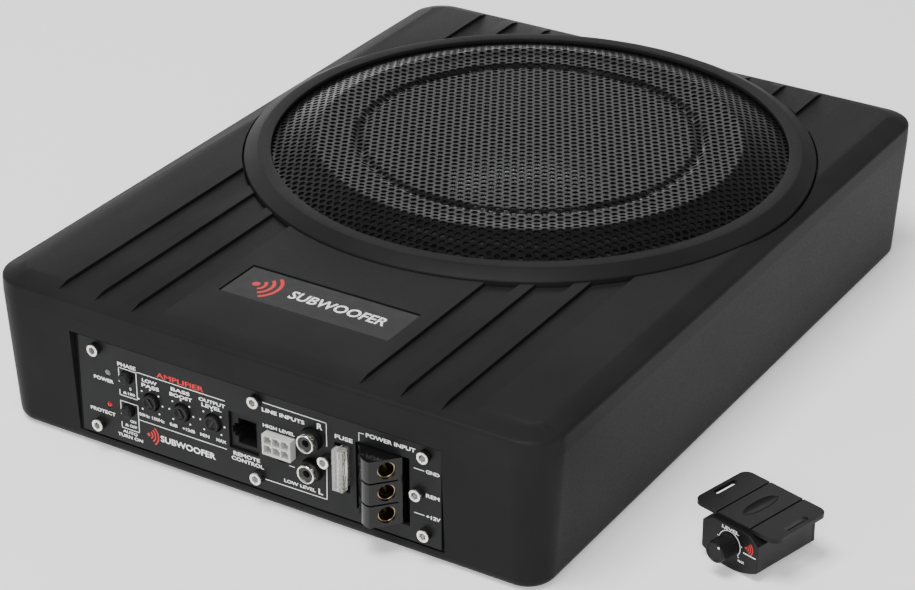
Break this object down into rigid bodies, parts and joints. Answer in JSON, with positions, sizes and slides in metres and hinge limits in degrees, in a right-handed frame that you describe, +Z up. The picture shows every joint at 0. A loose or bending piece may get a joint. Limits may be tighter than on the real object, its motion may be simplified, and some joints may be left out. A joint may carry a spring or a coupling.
{
  "type": "powered car subwoofer",
  "caption": "Flat under-seat powered subwoofer with an upward woofer behind a perforated grille, an end control panel and a loose wired level control.",
  "frame": {"origin": "centre of the cabinet's flat base, on the surface it stands on", "axes": "+Z up through the woofer, -Y towards the control panel end, +X to the right when facing the panel; the loose level control stands on +X"},
  "size_m": [0.348, 0.3599, 0.08],
  "materials": {
    "cabinet_plastic": "fine textured satin black moulding",
    "seal_rubber": "matt black rubber",
    "screw_steel": "black zinc",
    "nickel": "bright nickel plate",
    "brass": "machined brass",
    "badge": null,
    "grille_steel": "satin black powder coat",
    "frame_metal": "matt black paint",
    "cone_paper": "coated paper pulp",
    "dust_cap_plastic": "satin grey",
    "coil": "enamelled copper on a former",
    "spider_cloth": "resin-dipped cotton",
    "motor_steel": "zinc plate",
    "ferrite": "sintered ferrite",
    "panel_metal": "matt black with white printing",
    "clear_lamp": "clear lens",
    "red_lamp": "red lens",
    "black_plastic": "black moulding",
    "pot_metal": "pressed steel can",
    "header_nylon": "natural nylon",
    "white_plastic": "black insulator",
    "fuse_plastic": "clear moulding",
    "circuit_board": "green solder mask",
    "aluminium": "mill finish",
    "component_epoxy": "moulded epoxy",
    "transformer_wire": "enamelled copper winding"
  },
  "bodies": {
    "cabinet": {"lower_tub": "cabinet_plastic", "top_cover": "cabinet_plastic", "bezel_ring": "cabinet_plastic", "cover_seal": "seal_rubber", "frame_gasket": "seal_rubber", "case_screws": "screw_steel", "woofer_screws": "screw_steel", "panel_screws": "nickel", "rca_shells": "nickel", "terminal_barrels": "nickel", "header_pins": "nickel", "base_inserts": "brass", "badge_plate": "badge", "grille": "grille_steel", "woofer_frame": "frame_metal", "top_plate": "motor_steel", "back_plate": "motor_steel", "magnet": "ferrite", "control_panel": "panel_metal", "power_lamp": "clear_lamp", "protect_lamp": "red_lamp", "phase_switch": "black_plastic", "turn_on_switch": "black_plastic", "remote_jack": "black_plastic", "rca_housing": "black_plastic", "fuse_holder": "black_plastic", "power_terminal": "black_plastic", "low_pass_pot": "pot_metal", "bass_boost_pot": "pot_metal", "output_level_pot": "pot_metal", "input_header": "header_nylon", "rca_cores": "white_plastic", "control_board": "circuit_board", "amp_board": "circuit_board", "heat_spreader": "aluminium", "reservoir_capacitors": "aluminium", "power_transistors": "component_epoxy", "supply_transformer": "transformer_wire"},
    "low_pass_control": {"low_pass_knob": "black_plastic"},
    "bass_boost_control": {"bass_boost_knob": "black_plastic"},
    "output_level_control": {"output_level_knob": "black_plastic"},
    "phase_push": {"phase_button": "black_plastic"},
    "turn_on_push": {"turn_on_button": "black_plastic"},
    "woofer_cone": {"cone": "cone_paper", "dust_cap": "dust_cap_plastic", "voice_coil": "coil", "surround": "seal_rubber", "spider": "spider_cloth"},
    "fuse_link": {"fuse": "fuse_plastic"},
    "ground_clamp": {"ground_clamp_screw": "nickel"},
    "remote_clamp": {"remote_clamp_screw": "nickel"},
    "supply_clamp": {"supply_clamp_screw": "nickel"},
    "level_unit": {"remote_case": "black_plastic", "remote_back": "black_plastic", "remote_bracket": "black_plastic", "remote_pot": "pot_metal", "remote_board": "circuit_board", "remote_socket": "black_plastic"},
    "level_knob": {"remote_knob": "black_plastic"}
  },
  "joints": [
    {"name": "low_pass_turn", "type": "hinge", "parent": "cabinet", "child": "low_pass_control", "pos_m": [-0.0529, -0.1736, 0.0315], "axis": [0, -1, 0], "range_deg": [-150, 150]},
    {"name": "bass_boost_turn", "type": "hinge", "parent": "cabinet", "child": "bass_boost_control", "pos_m": [-0.0372, -0.1736, 0.0315], "axis": [0, -1, 0], "range_deg": [-150, 150]},
    {"name": "output_level_turn", "type": "hinge", "parent": "cabinet", "child": "output_level_control", "pos_m": [-0.0215, -0.1736, 0.0315], "axis": [0, -1, 0], "range_deg": [-150, 150]},
    {"name": "phase_press", "type": "slide", "parent": "cabinet", "child": "phase_push", "axis": [0, 1, 0], "range_m": [0, 0.002], "stiffness_N_per_m": 400},
    {"name": "turn_on_press", "type": "slide", "parent": "cabinet", "child": "turn_on_push", "axis": [0, 1, 0], "range_m": [0, 0.002], "stiffness_N_per_m": 400},
    {"name": "cone_stroke", "type": "slide", "parent": "cabinet", "child": "woofer_cone", "axis": [0, 0, 1], "range_m": [-0.005, 0.005], "stiffness_N_per_m": 2500, "deforming": ["surround", "spider"]},
    {"name": "fuse_pull", "type": "slide", "parent": "cabinet", "child": "fuse_link", "axis": [0, -1, 0], "range_m": [0, 0.016]},
    {"name": "level_unit_move", "type": "slide", "parent": "cabinet", "child": "level_unit", "axis": [1, 0, 0], "range_m": [0, 0.12]},
    {"name": "level_knob_turn", "type": "hinge", "parent": "level_unit", "child": "level_knob", "pos_m": [0.18447, -0.1157, 0.0114], "axis": [-0.2588, -0.9659, 0], "range_deg": [-140, 140]},
    {"name": "ground_clamp_turn", "type": "hinge", "parent": "cabinet", "child": "ground_clamp", "pos_m": [0.05246, -0.17712, 0.0395], "axis": [-0.7731, -0.6343, 0], "range_deg": [-360, 360]},
    {"name": "remote_clamp_turn", "type": "hinge", "parent": "cabinet", "child": "remote_clamp", "pos_m": [0.05246, -0.17712, 0.0293], "axis": [-0.7731, -0.6343, 0], "range_deg": [-360, 360]},
    {"name": "supply_clamp_turn", "type": "hinge", "parent": "cabinet", "child": "supply_clamp", "pos_m": [0.05246, -0.17712, 0.0191], "axis": [-0.7731, -0.6343, 0], "range_deg": [-360, 360]}
  ]
}
